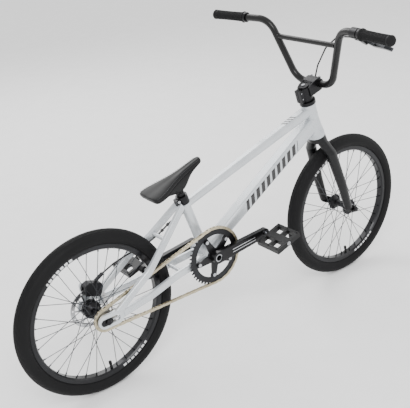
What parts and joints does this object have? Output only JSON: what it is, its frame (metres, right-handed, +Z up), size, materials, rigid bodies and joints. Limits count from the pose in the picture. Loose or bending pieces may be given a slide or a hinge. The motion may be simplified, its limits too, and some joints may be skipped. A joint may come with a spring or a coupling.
{
  "type": "bmx bike",
  "caption": "Single-speed bike with small wheels, a low saddle, a tall braced handlebar, flat pedals and a hydraulic disc brake on the rear wheel.",
  "frame": {"origin": "on the ground, midway between the wheel axles", "axes": "+X forward, +Y to the rider's left, +Z up"},
  "size_m": [1.4788, 0.7526, 0.9148],
  "materials": {
    "silver_paint": "pearl white lacquer",
    "white_paint": "gloss paint with plain colour panels",
    "black_paint": "satin black paint",
    "black_metal": "black anodised",
    "black_carbon": "satin carbon composite",
    "steel": "plated steel",
    "lever_metal": "black anodised",
    "rotor_steel": "ground stainless steel",
    "chain_steel": "gold toned plated steel",
    "black_plastic": "moulded",
    "saddle_skin": "synthetic leather",
    "grip_rubber": "moulded rubber",
    "tyre_rubber": "matt rubber",
    "tube_rubber": "butyl rubber",
    "black_rim": "black anodised with plain bands",
    "black_spokes": "black plated",
    "pad_compound": "pressed lining on steel"
  },
  "bodies": {
    "frame": {"head_tube": "silver_paint", "top_tube": "silver_paint", "down_tube": "white_paint", "seat_tube": "silver_paint", "bottom_bracket_shell": "silver_paint", "chainstays": "silver_paint", "seatstays": "silver_paint", "dropout_left": "silver_paint", "dropout_right": "silver_paint", "seat_collar": "black_metal", "frame_bolts": "steel", "headset_bearings": "steel", "bottom_bracket_cups": "black_metal", "axle_adjusters": "black_metal", "rear_axle": "black_metal", "chain": "chain_steel", "brake_caliper": "black_metal", "brake_hose_rear": "black_plastic", "hose_clips": "black_plastic"},
    "seat": {"seatpost": "black_metal", "saddle_base": "black_plastic", "saddle_cover": "saddle_skin"},
    "steering": {"fork": "black_carbon", "headset_cover": "black_metal", "stem": "black_metal", "stem_faceplate": "black_metal", "stem_bolts": "steel", "stem_top_cap": "black_metal", "handlebar": "black_paint", "grip_left": "grip_rubber", "grip_right": "grip_rubber", "grip_collars": "black_metal", "brake_lever_body": "black_metal", "brake_hose_front": "black_plastic", "front_axle": "black_metal"},
    "brake_lever": {"lever_blade": "lever_metal"},
    "front_wheel": {"front_tyre": "tyre_rubber", "front_inner_tube": "tube_rubber", "front_rim": "black_rim", "front_spokes": "black_spokes", "front_hub": "black_metal", "front_hub_bearings": "steel"},
    "rear_wheel": {"rear_tyre": "tyre_rubber", "rear_inner_tube": "tube_rubber", "rear_rim": "black_rim", "rear_spokes": "black_spokes", "rear_hub": "black_metal", "rear_hub_bearings": "steel", "brake_rotor": "rotor_steel", "rotor_bolts": "steel"},
    "crankset": {"crank_arm_right": "black_metal", "crank_arm_left": "black_metal", "chainring": "black_metal", "chainring_bolts": "steel", "crank_axles": "steel"},
    "pedal_left": {"pedal_left": "black_plastic"},
    "pedal_right": {"pedal_right": "black_plastic"},
    "cog": {"cog": "steel"},
    "brake_pad_left": {"brake_pad_left": "pad_compound"},
    "brake_pad_right": {"brake_pad_right": "pad_compound"}
  },
  "joints": [
    {"name": "seatpost_slide", "type": "slide", "parent": "frame", "child": "seat", "axis": [-0.304, 0, 0.9527], "range_m": [0, 0.06]},
    {"name": "steering", "type": "hinge", "parent": "frame", "child": "steering", "pos_m": [0.4612, 0, 0.23996], "axis": [-0.2756, 0, 0.9613], "range_deg": [-80, 80]},
    {"name": "brake_lever", "type": "hinge", "parent": "steering", "child": "brake_lever", "pos_m": [0.34998, -0.23588, 0.87102], "axis": [-0.6319, 0.1042, -0.768], "range_deg": [0, 16], "stiffness_Nm_per_rad": 0.6, "springref_deg": -4.58},
    {"name": "front_wheel", "type": "hinge", "parent": "steering", "child": "front_wheel", "pos_m": [0.491, 0, 0.2485], "axis": [0, 1, 0], "continuous": true},
    {"name": "rear_wheel", "type": "hinge", "parent": "frame", "child": "rear_wheel", "pos_m": [-0.491, 0, 0.2485], "axis": [0, 1, 0], "continuous": true},
    {"name": "crank", "type": "hinge", "parent": "frame", "child": "crankset", "pos_m": [-0.10445, 0, 0.297], "axis": [0, 1, 0], "continuous": true, "deforming": ["chain"]},
    {"name": "cog", "type": "hinge", "parent": "frame", "child": "cog", "pos_m": [-0.491, 0, 0.2485], "axis": [0, 1, 0], "continuous": true},
    {"name": "pedal_left", "type": "hinge", "parent": "crankset", "child": "pedal_left", "pos_m": [-0.27775, 0.142, 0.27265], "axis": [0, 1, 0], "continuous": true},
    {"name": "pedal_right", "type": "hinge", "parent": "crankset", "child": "pedal_right", "pos_m": [0.06885, -0.142, 0.32136], "axis": [0, 1, 0], "continuous": true},
    {"name": "brake_pad_left", "type": "slide", "parent": "frame", "child": "brake_pad_left", "axis": [0, -1, 0], "range_m": [0, 0.00035]},
    {"name": "brake_pad_right", "type": "slide", "parent": "frame", "child": "brake_pad_right", "axis": [0, 1, 0], "range_m": [0, 0.00035]}
  ],
  "couplings": [
    {"joint": "cog", "follows": "crank", "ratio": 2.75},
    {"joint": "brake_pad_left", "follows": "brake_lever", "m_per_rad": 0.0012},
    {"joint": "brake_pad_right", "follows": "brake_lever", "m_per_rad": 0.0012}
  ]
}
